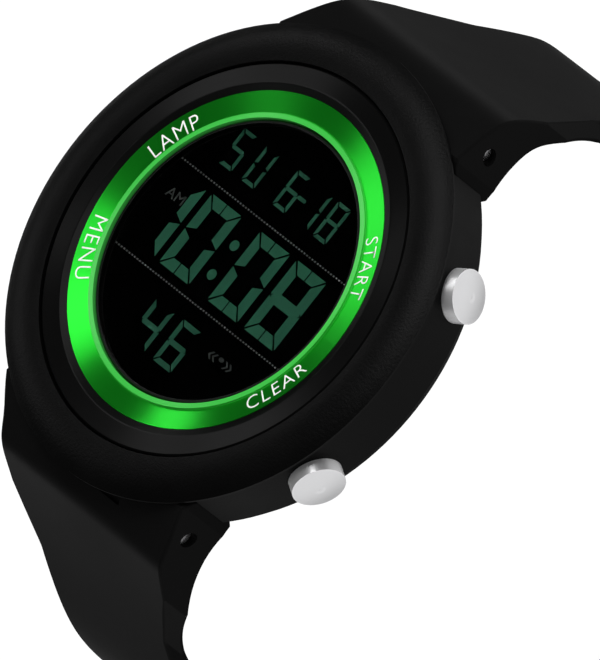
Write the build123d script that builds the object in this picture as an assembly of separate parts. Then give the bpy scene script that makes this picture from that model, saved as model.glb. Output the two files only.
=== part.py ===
from build123d import *
import os
from math import cos, degrees, pi, radians, sin

# Digital wrist watch, dial up, strap unbuckled and curved as a loop
# Millimetres, +X is 3 o'clock, +Y is 12 o'clock, the origin is the centre of the case back's outer face

# Clearances
overrun = 2.0
fit_gap = 0.05
frame_gap = 0.1
seat_gap = 0.2

# Case shell, with heights above the case back's outer face
bezel_radius = 24.5
bezel_overhang = 0.45
case_height = 9.5
body_foot = 2.4
chamfer_rise = 1.5
chamfer_inset = 0.95
boss_flare = 0.5
shelf_depth = 1.3
shelf_thickness = 1.0
shelf_width = 1.2

# Bezel, inner ring and dial ring
bezel_width = 4.25
bezel_land = 0.25
bezel_crown_inset = 1.05
bezel_crown_rise = 1.2
bezel_groove = 0.2
inner_ring_width = 2.7
inner_ring_rise = 1.0
inner_ring_chamfer = 0.7
inner_ring_chamfer_drop = 0.22
inner_ring_edge = 0.15
dial_ring_foot = 1.0
dial_ring_width = 2.7
dial_ring_rise = 0.82
dial_ring_fall = 0.34
dial_lip_width = 0.5
dial_lip_rise = 0.2
dial_seat_depth = 0.5

# Crystal and its gasket
crystal_rise = 0.4
crystal_edge = 0.2
crystal_flange_thickness = 0.6
gasket_width = 0.8

# Display stack, from the front down
film_thickness = 0.15
film_margin = 0.3
lcd_margin = 0.5
lcd_thickness = 1.2
lcd_gap = 0.2
display_side = 4.1
backlight_thickness = 0.3
frame_plate_thickness = 0.7
frame_wall = 0.6
frame_rim_lift = 0.9
frame_notch_depth = 1.8
board_thickness = 0.8
zebra_end_gap = 0.3
zebra_width = 1.2
zebra_wall = 0.7

# Parts on the back of the circuit board
chip_length = 5.0
chip_width = 3.0
chip_thickness = 0.9
chip_place_x = -4.5
chip_side = 4.4
quartz_radius = 0.75
quartz_length = 5.0
quartz_side = 2.9
quartz_angle = 40.0
lamp_coil_radius = 1.6
lamp_coil_thickness = 1.4
lamp_coil_side = 2.9
lamp_coil_angle = 14.0
battery_side = 4.7
battery_room = 1.0
battery_rim = 0.8
battery_step = 0.6
battery_place_y = -3.2
clip_thickness = 0.2
clip_width = 5.0
buzzer_side = 6.4
buzzer_thickness = 0.3
buzzer_place_x = 1.5
buzzer_place_y = 3.4
buzzer_spring_radius = 0.8
buzzer_spring_wire = 0.25
buzzer_spring_turns = 4
buzzer_spring_side = 4.7
buzzer_spring_angle = 69.0
contact_thickness = 0.12
contact_width = 1.2
contact_foot = 1.2
contact_rise = 0.4

# Case back, its gasket and screws
back_thickness = 1.2
back_edge = 0.35
back_recess_margin = 0.6
back_recess_depth = 0.5
back_gasket_wall = 0.45
back_gasket_width = 0.7
back_gasket_thickness = 0.3
screw_wall = 1.15
screw_radius = 0.6
screw_head_radius = 1.05
screw_head_thickness = 0.6
screw_head_margin = 1.0
screw_sink = 0.1
screw_length = 3.2
screw_slot = 0.3
screw_count = 4
boss_margin = 0.7

# Push buttons, at four places round the case
button_angle = 26.4
button_depth = 3.7
button_radius = 2.6
button_proud = 1.5
button_crown = 0.3
button_travel = 0.7
button_stop_room = 0.4
button_cup_radius = 1.5
button_cup_roof = 0.8
button_bore_depth = 3.65
button_stem_radius = 0.7
button_spring_wire = 0.25
button_spring_turns = 4
seal_width = 0.7
seal_groove = 0.25
clip_ring = 0.3
clip_radius = 1.2
clip_groove = 0.2
clip_mouth_share = 0.8
notch_width = 3.0

# Strap halves, seen from the side, measured from each strap pin
pin_inset = 1.9
pin_depth = 4.2
pin_radius = 0.79
pin_recess = 0.8
hub_radius = 4.5
hub_gap = 0.25
hub_top_angle = 116.0
hub_low_angle = 221.0
ear_cut_count = 3
lug_half_width = 5.0
lug_radius = 1.8
lug_gap = 0.3
strap_swing = 20.0
strap_fall = 30.0
strap_thickness = 1.8
strap_edge = 0.3
band_half_width = 10.0
ear_flare = 4.1
ear_inset = 2.2
taper_run = 8.9
taper_bend_run = 5.8
taper_bend_flare = 2.2
band_split = 22.6
stand_depth = 80.5
upper_reach = 12.3
upper_drop = 31.8
lower_reach = 14.25
lower_drop = 29.8
upper_outer_shares = [
    (0.102, 0.066), (0.27, 0.012), (0.385, -0.06), (0.475, -0.151), (0.739, -0.412), (0.936, -0.63),
]
upper_inner_shares = [
    (0.058, -0.119), (0.24, -0.16), (0.378, -0.23), (0.488, -0.314), (0.574, -0.403), (0.797, -0.8),
]
lower_outer_shares = [
    (0.117, 0.045), (0.234, 0.006), (0.341, -0.07), (0.439, -0.16), (0.71, -0.426), (0.907, -0.66),
]
lower_inner_shares = [
    (0.068, -0.138), (0.218, -0.188), (0.344, -0.248), (0.463, -0.322), (0.585, -0.44), (0.827, -0.8),
]

# Ends of the strap halves
upper_bend_radius = 45.0
upper_bend_angle = 28.0
lower_bend_radius = 28.0
lower_flat = 10.0
tip_corner = 7.0
hole_pitch = 6.5
hole_count = 10
hole_length = 3.4
hole_width = 1.9
hole_margin = 11.0

# Buckle and keeper
bar_radius = 0.7
bar_housing_radius = 1.8
tongue_slot = 1.6
buckle_arm = 2.0
buckle_side_gap = 0.5
buckle_length = 14.2
buckle_crossbar = 2.6
buckle_thickness = 2.2
buckle_heel = 1.6
buckle_corner = 3.0
buckle_edge = 0.4
buckle_heel_share = 0.9
tongue_half_width = 1.25
tongue_hub_radius = 1.5
tongue_end_inset = 0.8
tongue_thickness = 1.0
tongue_lift = 0.15
tongue_tip_width_share = 0.6
tongue_rest_drop = 0.375
tongue_step_run = 0.9
tongue_step_drop = 0.3
keeper_width = 6.0
keeper_wall = 1.1
keeper_room = 2.4
keeper_edge = 0.4

# Radii that follow from the bezel's, inwards to the display
case_radius = bezel_radius - bezel_overhang
bezel_inner_radius = bezel_radius - bezel_width
bezel_crown_radius = bezel_inner_radius + bezel_crown_inset
inner_ring_radius = bezel_inner_radius - bezel_groove
dial_ring_radius = inner_ring_radius - inner_ring_width - fit_gap
dial_ring_bore = dial_ring_radius - dial_ring_width
crystal_flange_radius = dial_ring_radius - dial_ring_foot
shelf_hole_radius = crystal_flange_radius - shelf_width
lcd_radius = shelf_hole_radius - frame_gap
film_radius = lcd_radius - film_margin
frame_radius = lcd_radius + lcd_margin
cavity_radius = frame_radius + frame_gap
stack_half_width = film_radius - display_side
zebra_place = stack_half_width + zebra_wall + zebra_width / 2
zebra_outside = zebra_place + zebra_width / 2
zebra_length = 2 * ((lcd_radius ** 2 - zebra_outside ** 2) ** 0.5 - zebra_end_gap)

# Radii that follow at the back of the case
battery_radius = film_radius - battery_side
back_recess_radius = cavity_radius - back_recess_margin
back_gasket_inner = cavity_radius + back_gasket_wall
back_gasket_outer = back_gasket_inner + back_gasket_width
screw_place = back_gasket_outer + screw_wall
back_radius = screw_place + screw_head_margin
boss_radius = back_radius + boss_margin
buzzer_radius = back_recess_radius - buzzer_side

# Heights that follow
shelf_top = case_height - shelf_depth
shelf_low = shelf_top - shelf_thickness
dial_seat = case_height - dial_seat_depth
flange_low = dial_seat - crystal_flange_thickness
lcd_top = flange_low - lcd_gap - film_thickness
lcd_low = lcd_top - lcd_thickness
rear_film_low = lcd_low - film_thickness
backlight_low = rear_film_low - backlight_thickness
board_top = backlight_low - frame_plate_thickness
board_low = board_top - board_thickness
back_inside = back_thickness - back_recess_depth
buzzer_top = back_inside + buzzer_thickness
battery_low = buzzer_top + battery_room + clip_thickness
battery_top = board_low - seat_gap

# Places along a button's axis, from the middle outwards
button_height = case_height - button_depth
button_stem_end = cavity_radius + 2 * seat_gap
clip_place = crystal_flange_radius + button_travel + seat_gap
notch_start = clip_place - button_travel - frame_gap
notch_end = clip_place + clip_ring + frame_gap
button_bore_base = case_radius - button_bore_depth
seal_place = (notch_end + button_bore_base) / 2
button_head_base = button_bore_base + button_travel + button_stop_room
button_face = case_radius + button_proud
button_cup_base = button_face - button_crown - button_cup_roof

# Places round the strap pins and along the strap
pin_place = bezel_radius - pin_inset
pin_height = case_height - pin_depth
ear_place = pin_place - ear_inset
ear_half_width = band_half_width + ear_flare
taper_bend_half_width = band_half_width + taper_bend_flare
pocket_radius = hub_radius + hub_gap
ear_hole_radius = pin_radius + fit_gap
band_middle = strap_thickness / 2
floor_height = -stand_depth
buckle_run = buckle_length * cos(radians(upper_bend_angle))
buckle_drop = buckle_run + buckle_thickness / 2 * sin(radians(upper_bend_angle))
upper_end_drop = (upper_bend_radius - band_middle) * sin(radians(upper_bend_angle))
upper_bend_height = floor_height + buckle_drop + upper_end_drop
lower_bend_height = floor_height + lower_bend_radius
keeper_height = (pin_height - upper_drop + upper_bend_height) / 2
tongue_length = buckle_length - tongue_end_inset
start = (Align.CENTER, Align.CENTER, Align.MIN)


# Basic forms, with springs of six-sided wire
wire_sides = 6


def disc(radius, low, high):
    return Pos(0, 0, low) * Cylinder(radius, high - low, align=start)


def ring(inner, outer, low, high):
    return disc(outer, low, high) - Pos(0, 0, low) * Cylinder(inner, high - low, align=start)


def block(low_x, high_x, low_y, high_y, low_z, high_z):
    middle = ((low_x + high_x) / 2, (low_y + high_y) / 2, (low_z + high_z) / 2)
    return Pos(*middle) * Box(high_x - low_x, high_y - low_y, high_z - low_z)


def turned(points):
    return revolve(make_face(Plane.XZ * Polyline(*points, close=True)), Axis.Z)


def rod_x(radius, half_length, y=0, z=0):
    return Pos(0, y, z) * Rot(0, 90, 0) * Cylinder(radius, 2 * half_length)


def coil(radius, wire, low, high, turns):
    pitch = (high - low - wire) / turns
    path = Helix(pitch, pitch * turns, radius)
    section = Plane(path @ 0, z_dir=path % 0) * RegularPolygon(wire / 2, wire_sides)
    return Pos(0, 0, low + wire / 2) * sweep(section, path=path, is_frenet=True)


def polar(angle, radius):
    return radius * cos(radians(angle)), radius * sin(radians(angle))


# A piece made along +X at the dial's axis, set at a button's place
def at_button(angle, piece):
    return Rot(0, 0, angle) * Pos(0, 0, button_height) * piece


def rod_out(radius, near, far):
    return Pos(near, 0, 0) * Rot(0, 90, 0) * Cylinder(radius, far - near, align=start)


# Case body: one turned shell with button bores, strap pockets and a lug at each end
def case_shell():
    return turned([
        (cavity_radius, back_thickness),
        (boss_radius, back_thickness),
        (boss_radius + boss_flare, body_foot),
        (case_radius - chamfer_inset, body_foot),
        (case_radius, body_foot + chamfer_rise),
        (case_radius, case_height),
        (dial_ring_radius + fit_gap, case_height),
        (dial_ring_radius + fit_gap, dial_seat),
        (crystal_flange_radius + fit_gap, dial_seat),
        (crystal_flange_radius + fit_gap, shelf_top),
        (shelf_hole_radius, shelf_top),
        (shelf_hole_radius, shelf_low),
        (cavity_radius, shelf_low),
    ])


def button_bore():
    bore = rod_out(button_radius + fit_gap, button_bore_base, bezel_radius + overrun)
    bore += rod_out(button_stem_radius + fit_gap, cavity_radius - overrun, bezel_radius)
    half = notch_width / 2
    floor = body_foot - button_height
    clip_top = clip_radius + frame_gap
    bore += block(notch_start, notch_end, -half, half, floor, clip_top)
    stem_top = button_stem_radius + fit_gap
    bore += block(cavity_radius - seat_gap, clip_place, -half, half, floor, stem_top)
    return bore


def strap_pocket():
    half = ear_half_width + seat_gap
    pocket = rod_x(pocket_radius, half, pin_place, pin_height)
    outside = block(-half, half, pin_place, bezel_radius + overrun, pin_height - pocket_radius,
                    pin_height + pocket_radius)
    return pocket + outside


def lug(radius, half_width):
    root = pin_place - pocket_radius - seat_gap
    arm = block(-half_width, half_width, root, pin_place, pin_height - radius, pin_height + radius)
    return arm + rod_x(radius, half_width, pin_place, pin_height)


def case_body():
    body = case_shell()
    for angle in button_angles.values():
        body -= at_button(angle, button_bore())
    for end in (strap_pocket(), mirror(strap_pocket(), Plane.XZ)):
        body -= end
    pin_hole = rod_x(pin_radius + fit_gap, lug_half_width + overrun, pin_place, pin_height)
    carried = lug(lug_radius, lug_half_width) - pin_hole
    body += carried
    body += mirror(carried, Plane.XZ)
    body -= ring(back_gasket_inner - fit_gap, back_gasket_outer + fit_gap, back_thickness - overrun,
                 back_thickness + back_gasket_thickness)
    for place in screw_places():
        body -= place * disc(screw_radius + fit_gap, back_thickness - overrun, back_thickness + screw_length)
    return body


# Rings on top of the case
def bezel_cover():
    top = case_height + bezel_crown_rise
    run = bezel_radius - bezel_crown_radius
    rise = bezel_crown_rise - bezel_land
    sweep_radius = (run ** 2 + rise ** 2) / (2 * rise)
    inner_fall = (bezel_crown_radius - bezel_inner_radius) ** 2 / (2 * sweep_radius)
    edge = (bezel_radius, case_height + bezel_land)
    inside = (bezel_inner_radius, top - inner_fall)
    crown = ThreePointArc(edge, (bezel_crown_radius, top), inside)
    rest = Polyline(inside, (bezel_inner_radius, case_height), (bezel_radius, case_height), edge)
    return revolve(make_face(Plane.XZ * Curve([crown, rest])), Axis.Z)


def inner_ring():
    top = case_height + inner_ring_rise
    bore = dial_ring_radius + fit_gap
    return turned([
        (bore, case_height),
        (inner_ring_radius, case_height),
        (inner_ring_radius, top - inner_ring_edge),
        (inner_ring_radius - inner_ring_edge, top),
        (bore + inner_ring_chamfer, top),
        (bore, top - inner_ring_chamfer_drop),
    ])


def dial_ring():
    high = case_height + dial_ring_rise
    low = high - dial_ring_fall
    lip = dial_ring_bore + dial_lip_width
    return turned([
        (dial_ring_bore, dial_seat),
        (dial_ring_radius, dial_seat),
        (dial_ring_radius, high),
        (lip, low),
        (lip, low + dial_lip_rise),
        (dial_ring_bore, low + dial_lip_rise),
    ])


# Crystal: a stepped disc whose flange the dial ring holds down
def crystal():
    radius = dial_ring_bore - fit_gap
    top = case_height + crystal_rise
    return turned([
        (0, flange_low),
        (crystal_flange_radius, flange_low),
        (crystal_flange_radius, dial_seat),
        (radius, dial_seat),
        (radius, top - crystal_edge),
        (radius - crystal_edge, top),
        (0, top),
    ])


def crystal_gasket():
    return ring(crystal_flange_radius - gasket_width, crystal_flange_radius, shelf_top, flange_low)


# Display stack
def cut_flat(piece):
    wide = case_radius
    return piece & block(-wide, wide, -stack_half_width, stack_half_width, 0, case_height)


def zebra_strip(side):
    centre = side * zebra_place
    half = zebra_width / 2
    return block(-zebra_length / 2, zebra_length / 2, centre - half, centre + half, board_top, lcd_low)


def module_frame():
    top = lcd_low
    rim = ring(frame_radius - frame_wall, frame_radius, back_thickness + frame_rim_lift, shelf_low)
    plate = disc(frame_radius, board_top, backlight_low)
    side_bed = disc(frame_radius, backlight_low, top)
    inside = block(-case_radius, case_radius, -stack_half_width - fit_gap, stack_half_width + fit_gap,
                   backlight_low, case_height)
    body = rim + plate + (side_bed - inside)
    body -= disc(lcd_radius + fit_gap, lcd_low, case_height)
    for side in (1, -1):
        centre = side * zebra_place
        half_x = zebra_length / 2 + fit_gap
        half_y = zebra_width / 2 + fit_gap
        body -= block(-half_x, half_x, centre - half_y, centre + half_y, 0, case_height)
    notch = block(frame_radius - frame_notch_depth, frame_radius + overrun, -notch_width / 2, notch_width / 2,
                  -case_height, case_height)
    for angle in button_angles.values():
        body -= at_button(angle, notch) - disc(film_radius + fit_gap, 0, case_height)
    return body


def circuit_board():
    return disc(film_radius, board_low, board_top)


def chip():
    half = chip_length / 2
    body = block(-half, half, -chip_width / 2, chip_width / 2, board_low - chip_thickness, board_low)
    return Pos(chip_place_x, film_radius - chip_side, 0) * body


def quartz_can():
    lying = Rot(0, 90, 0) * Cylinder(quartz_radius, quartz_length)
    x, y = polar(quartz_angle, film_radius - quartz_side)
    return Pos(x, y, board_low - quartz_radius) * lying


def lamp_coil():
    coil_body = disc(lamp_coil_radius, board_low - lamp_coil_thickness, board_low)
    x, y = polar(lamp_coil_angle, film_radius - lamp_coil_side)
    return Pos(x, y, 0) * coil_body


def battery_cell():
    return Pos(0, battery_place_y, 0) * turned([
        (0, battery_low),
        (battery_radius, battery_low),
        (battery_radius, battery_top - battery_step),
        (battery_radius - battery_rim, battery_top),
        (0, battery_top),
    ])


# A bent strap over the battery, with a leg up to the board at each side
def battery_clip():
    half = clip_width / 2
    reach = battery_radius + seat_gap
    low = battery_low - clip_thickness
    body = block(-reach - clip_thickness, reach + clip_thickness, -half, half, low, battery_low)
    for side in (1, -1):
        near = side * reach
        far = side * (reach + clip_thickness)
        leg = block(min(near, far), max(near, far), -half, half, low, board_low)
        body += leg
    return Pos(0, battery_place_y, 0) * body


def buzzer_disc():
    return Pos(buzzer_place_x, buzzer_place_y, 0) * disc(buzzer_radius, back_inside, buzzer_top)


def buzzer_spring():
    body = coil(buzzer_spring_radius, buzzer_spring_wire, buzzer_top, board_low, buzzer_spring_turns)
    x, y = polar(buzzer_spring_angle, film_radius - buzzer_spring_side)
    return Pos(x, y, 0) * body


# Four bent leaves that the button stems press, each with a foot on the board
def side_contacts():
    near = lcd_radius + fit_gap
    half = contact_width / 2
    far = near + contact_thickness
    leaf = block(near, far, -half, half, board_low - button_height, contact_rise)
    foot_low = board_low - button_height - contact_thickness
    leaf += block(film_radius - contact_foot, far, -half, half, foot_low, board_low - button_height)
    return Compound(children=[at_button(angle, leaf) for angle in button_angles.values()])


# Case back with its gasket and screws
def screw_places():
    step = 360 / screw_count
    return [Rot(0, 0, step / 2 + step * number) * Pos(screw_place, 0, 0) for number in range(screw_count)]


def case_back():
    plate = turned([
        (0, 0),
        (back_radius - back_edge, 0),
        (back_radius, back_edge),
        (back_radius, back_thickness),
        (back_recess_radius, back_thickness),
        (back_recess_radius, back_inside),
        (0, back_inside),
    ])
    for place in screw_places():
        plate -= place * disc(screw_radius + fit_gap, -overrun, back_thickness + overrun)
        plate -= place * disc(screw_head_radius + fit_gap, -overrun, screw_sink + screw_head_thickness)
    return plate


def case_back_gasket():
    return ring(back_gasket_inner, back_gasket_outer, back_thickness, back_thickness + back_gasket_thickness)


def case_back_screws():
    head_top = screw_sink + screw_head_thickness
    head = disc(screw_head_radius, screw_sink, head_top)
    slot_floor = screw_sink + screw_head_thickness / 2
    wide = screw_head_radius + overrun
    head -= block(-wide, wide, -screw_slot / 2, screw_slot / 2, screw_sink - overrun, slot_floor)
    screw = head + disc(screw_radius, head_top, back_thickness + screw_length - seat_gap)
    return Compound(children=[place * screw for place in screw_places()])


# Push button: domed hollow head and grooved stem in one turned piece
def groove_steps(near, far, depth):
    radius = button_stem_radius
    return [(near, radius), (near, radius - depth), (far, radius - depth), (far, radius)]


def button():
    half = seal_width / 2
    edge = (button_face - button_crown, button_radius)
    dome = (button_radius ** 2 + button_crown ** 2) / (2 * button_crown)
    middle = button_face - dome + (dome ** 2 - (button_radius / 2) ** 2) ** 0.5
    side = Polyline([
        (button_face, 0),
        (button_stem_end, 0),
        (button_stem_end, button_stem_radius),
        *groove_steps(clip_place - fit_gap, clip_place + clip_ring + fit_gap, clip_groove),
        *groove_steps(seal_place - half, seal_place + half, seal_groove),
        (button_cup_base, button_stem_radius),
        (button_cup_base, button_cup_radius),
        (button_head_base, button_cup_radius),
        (button_head_base, button_radius),
        edge,
    ])
    face = ThreePointArc(edge, (middle, button_radius / 2), (button_face, 0))
    return revolve(make_face(Curve([side, face])), Axis.X)


def button_spring():
    radius = button_cup_radius - button_spring_wire
    body = coil(radius, button_spring_wire, button_bore_base, button_cup_base, button_spring_turns)
    return Rot(0, 90, 0) * body


def button_seal():
    inner = button_stem_radius - seal_groove
    outer = button_stem_radius + fit_gap / 2
    half = seal_width / 2 - fit_gap
    body = rod_out(outer, seal_place - half, seal_place + half)
    return body - rod_out(inner, seal_place - half, seal_place + half)


# Open ring that stops the button from leaving the case
def button_clip():
    body = rod_out(clip_radius, clip_place, clip_place + clip_ring)
    inner = button_stem_radius - clip_groove + fit_gap / 2
    body -= rod_out(inner, clip_place, clip_place + clip_ring)
    mouth = inner * clip_mouth_share
    return body - block(clip_place, clip_place + clip_ring, -mouth, mouth, -clip_radius, 0)


# Strap halves are drawn in the plane across the pins and made on the +Y side
def from_pin(points, reach, drop):
    return [(pin_place + y * reach, pin_height + z * drop) for y, z in points]


def ear_arc():
    places = []
    for angle in (hub_low_angle, (hub_low_angle + hub_top_angle) / 2, hub_top_angle):
        y, z = polar(angle, hub_radius)
        places.append((pin_place + y, pin_height + z))
    return places


# One closed side outline: ear, bend, straight run, curved end
def side_outline(reach, drop, outer_shares, inner_shares, bend_radius, bend_angle, bend_height, flat):
    low, middle, top = ear_arc()
    outer_y = pin_place + reach
    inner_y = outer_y - strap_thickness
    drop_z = pin_height - drop
    down = (0, -1)
    outer = Spline([top] + from_pin(outer_shares, reach, drop) + [(outer_y, drop_z)],
                   tangents=[(cos(radians(strap_fall)), -sin(radians(strap_fall))), down])
    inner = Spline([low] + from_pin(inner_shares, reach, drop) + [(inner_y, drop_z)],
                   tangents=[(1, 0), down])
    edges = [ThreePointArc(low, middle, top), outer, inner]
    edges.append(Line((outer_y, drop_z), (outer_y, bend_height)))
    edges.append(Line((inner_y, drop_z), (inner_y, bend_height)))
    ends = []
    for radius in (bend_radius, bend_radius - strap_thickness):
        points = []
        for angle in (0, -bend_angle / 2, -bend_angle):
            y, z = polar(angle, radius)
            points.append((outer_y - bend_radius + y, bend_height + z))
        edges.append(ThreePointArc(*points))
        y, z = polar(-bend_angle - 90, flat)
        ends.append((points[2][0] + y, points[2][1] + z))
        if flat:
            edges.append(Line(points[2], ends[-1]))
    edges.append(Line(*ends))
    return make_face(Plane.YZ * Curve(edges))


def plan_shape(side_end):
    half = [
        (ear_half_width, 0),
        (ear_half_width, ear_place),
        (taper_bend_half_width, pin_place + taper_bend_run),
        (band_half_width, pin_place + taper_run),
        (band_half_width, side_end),
    ]
    other = [(-x, y) for x, y in reversed(half)]
    return make_face(Polyline(*half, *other, close=True))


def band_from(face, reach):
    split = pin_height - band_split
    high = case_height + overrun
    far = pin_place + reach + overrun
    whole = extrude(face, amount=ear_half_width + overrun, both=True)
    upper = whole & extrude(Pos(0, 0, split) * plan_shape(far), amount=high - split)
    lower = whole & block(-band_half_width, band_half_width, -far, far, floor_height - overrun, split)
    band = upper + lower
    near_edge = band_half_width - strap_edge
    edges = band.edges().filter_by_position(Axis.X, near_edge, ear_half_width)
    edges += band.edges().filter_by_position(Axis.X, -ear_half_width, -near_edge)
    return fillet(edges, strap_edge)


def ear_cuts():
    cuts = rod_x(ear_hole_radius, ear_half_width + overrun, pin_place, pin_height)
    room = lug(lug_radius + lug_gap, lug_half_width + lug_gap)
    root = pin_place - hub_radius - overrun
    room += block(-lug_half_width - lug_gap, lug_half_width + lug_gap, root - overrun, pin_place,
                  pin_height - lug_radius - lug_gap, pin_height + lug_radius + lug_gap)
    about = Pos(0, pin_place, pin_height)
    for number in range(ear_cut_count):
        angle = -strap_swing * number / (ear_cut_count - 1)
        cuts += about * Rot(angle, 0, 0) * about.inverse() * room
    return cuts


def buckle_place():
    y, z = polar(-upper_bend_angle, upper_bend_radius - band_middle)
    centre = pin_place + upper_reach - upper_bend_radius
    return Pos(0, centre + y, upper_bend_height + z) * Rot(-90 - upper_bend_angle, 0, 0)


def strap_buckle_side():
    face = side_outline(upper_reach, upper_drop, upper_outer_shares, upper_inner_shares,
                        upper_bend_radius, upper_bend_angle, upper_bend_height, 0)
    body = band_from(face, upper_reach) - ear_cuts()
    place = buckle_place()
    body += place * rod_x(bar_housing_radius, band_half_width)
    body -= place * rod_x(bar_radius + fit_gap, band_half_width + overrun)
    slot_back = -bar_housing_radius - tongue_slot
    body -= place * block(-tongue_slot, tongue_slot, slot_back, bar_housing_radius + overrun,
                          -bar_housing_radius - overrun, bar_housing_radius + overrun)
    return body


# Place on the long half's middle line, a given distance from its tip
def lower_place(distance):
    centre_y = pin_place + lower_reach - lower_bend_radius
    radius = lower_bend_radius - band_middle
    bend_length = radius * pi / 2
    if distance < lower_flat:
        return Pos(0, centre_y - lower_flat + distance, floor_height + band_middle)
    if distance < lower_flat + bend_length:
        turn = (distance - lower_flat) / radius
        y = centre_y + radius * sin(turn)
        return Pos(0, y, lower_bend_height - radius * cos(turn)) * Rot(degrees(turn), 0, 0)
    rise = distance - lower_flat - bend_length
    return Pos(0, centre_y + radius, lower_bend_height + rise) * Rot(90, 0, 0)


def strap_hole_side():
    face = side_outline(lower_reach, lower_drop, lower_outer_shares, lower_inner_shares,
                        lower_bend_radius, 90, lower_bend_height, lower_flat)
    body = band_from(face, lower_reach) - ear_cuts()
    tip = pin_place + lower_reach - lower_bend_radius - lower_flat
    corner = block(-band_half_width, band_half_width, tip, tip + lower_reach, floor_height - overrun,
                   floor_height + strap_thickness + overrun)
    rounded = fillet(corner.edges().filter_by(Axis.Z).group_by(Axis.Y)[0], tip_corner)
    body -= corner - rounded
    for number in range(hole_count):
        slot = extrude(SlotOverall(hole_length, hole_width), amount=strap_thickness, both=True)
        body -= lower_place(hole_margin + number * hole_pitch) * slot
    return mirror(body, Plane.XZ)


def strap_pin():
    narrowing = ear_flare - taper_bend_flare
    half = ear_half_width - pin_recess - narrowing * ear_inset / (ear_inset + taper_bend_run)
    return rod_x(pin_radius, half, pin_place, pin_height)


# Buckle, made flat with its bar at the origin and its crossbar along +Y
def buckle_frame():
    inner = band_half_width + buckle_side_gap
    outer = inner + buckle_arm
    half = buckle_thickness / 2
    body = block(-outer, outer, -buckle_heel, buckle_length, -half, half)
    body = fillet(body.edges().filter_by(Axis.Z).group_by(Axis.Y)[-1], buckle_corner)
    window = block(-inner, inner, -buckle_heel - overrun, buckle_length - buckle_crossbar,
                   -half - overrun, half + overrun)
    window = fillet(window.edges().filter_by(Axis.Z).group_by(Axis.Y)[-1], buckle_corner - buckle_arm / 2)
    body -= window
    body = fillet(body.edges().filter_by(Axis.X).group_by(Axis.Y)[0], half * buckle_heel_share)
    body = chamfer(body.edges().group_by(Axis.Z)[-1], buckle_edge)
    body -= rod_x(bar_radius + fit_gap, outer + overrun)
    rest = rod_out(tongue_half_width, buckle_length - buckle_crossbar - overrun, buckle_length + overrun)
    body -= Pos(0, 0, half + tongue_half_width - tongue_rest_drop) * Rot(0, 0, 90) * rest
    return buckle_place() * body


def buckle_tongue():
    half = buckle_thickness / 2
    under = half - tongue_rest_drop + tongue_lift + seat_gap
    profile = Polyline(
        (0, tongue_hub_radius - tongue_thickness),
        (tongue_length - buckle_crossbar, under),
        (tongue_length, under),
        (tongue_length, under + tongue_thickness - tongue_step_drop),
        (tongue_length - buckle_crossbar, under + tongue_thickness),
        (tongue_step_run, tongue_hub_radius - tongue_step_drop + seat_gap),
        (0, tongue_hub_radius),
        close=True,
    )
    plate = extrude(make_face(Plane.YZ * profile), amount=tongue_half_width, both=True)
    width = tongue_half_width
    tip = width * tongue_tip_width_share
    taper = Polyline(
        (-width, -tongue_length),
        (width, -tongue_length),
        (width, tongue_length / 2),
        (tip, tongue_length + fit_gap),
        (-tip, tongue_length + fit_gap),
        (-width, tongue_length / 2),
        close=True,
    )
    plate &= extrude(make_face(taper), amount=tongue_length, both=True)
    body = plate + rod_x(tongue_hub_radius, tongue_half_width)
    body -= rod_x(bar_radius + fit_gap, tongue_half_width + overrun)
    return buckle_place() * body


def buckle_bar():
    return buckle_place() * rod_x(bar_radius, band_half_width + buckle_side_gap + buckle_arm - seat_gap)


# Loose loop on the straight run of the short half
def strap_keeper():
    inner_x = band_half_width + seat_gap
    outer_x = inner_x + keeper_wall
    near = pin_place + upper_reach - strap_thickness - seat_gap
    far = pin_place + upper_reach + keeper_room
    low = keeper_height - keeper_width / 2
    high = keeper_height + keeper_width / 2
    body = block(-outer_x, outer_x, near - keeper_wall, far + keeper_wall, low, high)
    body = fillet(body.edges().filter_by(Axis.Z), keeper_wall)
    body = fillet(body.edges().filter_by(Axis.Z, reverse=True), keeper_edge)
    return body - block(-inner_x, inner_x, near, far, low - overrun, high + overrun)


button_angles = {
    "button_start": button_angle,
    "button_light": 180 - button_angle,
    "button_mode": 180 + button_angle,
    "button_reset": 360 - button_angle,
}

nodes = {
    "case_body": case_body(),
    "bezel_cover": bezel_cover(),
    "inner_ring": inner_ring(),
    "dial_ring": dial_ring(),
    "crystal": crystal(),
    "crystal_gasket": crystal_gasket(),
    "front_polarizer": disc(film_radius, lcd_top, lcd_top + film_thickness),
    "lcd_cell": disc(lcd_radius, lcd_low, lcd_top),
    "rear_polarizer": cut_flat(disc(film_radius, rear_film_low, lcd_low)),
    "backlight_panel": cut_flat(disc(film_radius, backlight_low, rear_film_low)),
    "zebra_strip_upper": zebra_strip(1),
    "zebra_strip_lower": zebra_strip(-1),
    "module_frame": module_frame(),
    "circuit_board": circuit_board(),
    "processor_chip": chip(),
    "quartz_can": quartz_can(),
    "lamp_coil": lamp_coil(),
    "side_contacts": side_contacts(),
    "battery_cell": battery_cell(),
    "battery_clip": battery_clip(),
    "buzzer_disc": buzzer_disc(),
    "buzzer_spring": buzzer_spring(),
    "case_back": case_back(),
    "case_back_gasket": case_back_gasket(),
    "case_back_screws": case_back_screws(),
    "strap_buckle_side": strap_buckle_side(),
    "strap_hole_side": strap_hole_side(),
    "upper_strap_pin": strap_pin(),
    "lower_strap_pin": mirror(strap_pin(), Plane.XZ),
    "buckle_frame": buckle_frame(),
    "buckle_tongue": buckle_tongue(),
    "buckle_bar": buckle_bar(),
    "strap_keeper": strap_keeper(),
}
for name, angle in button_angles.items():
    nodes[name] = at_button(angle, button())
    nodes[name + "_spring"] = at_button(angle, button_spring())
    nodes[name + "_seal"] = at_button(angle, button_seal())
    nodes[name + "_clip"] = at_button(angle, button_clip())

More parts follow.
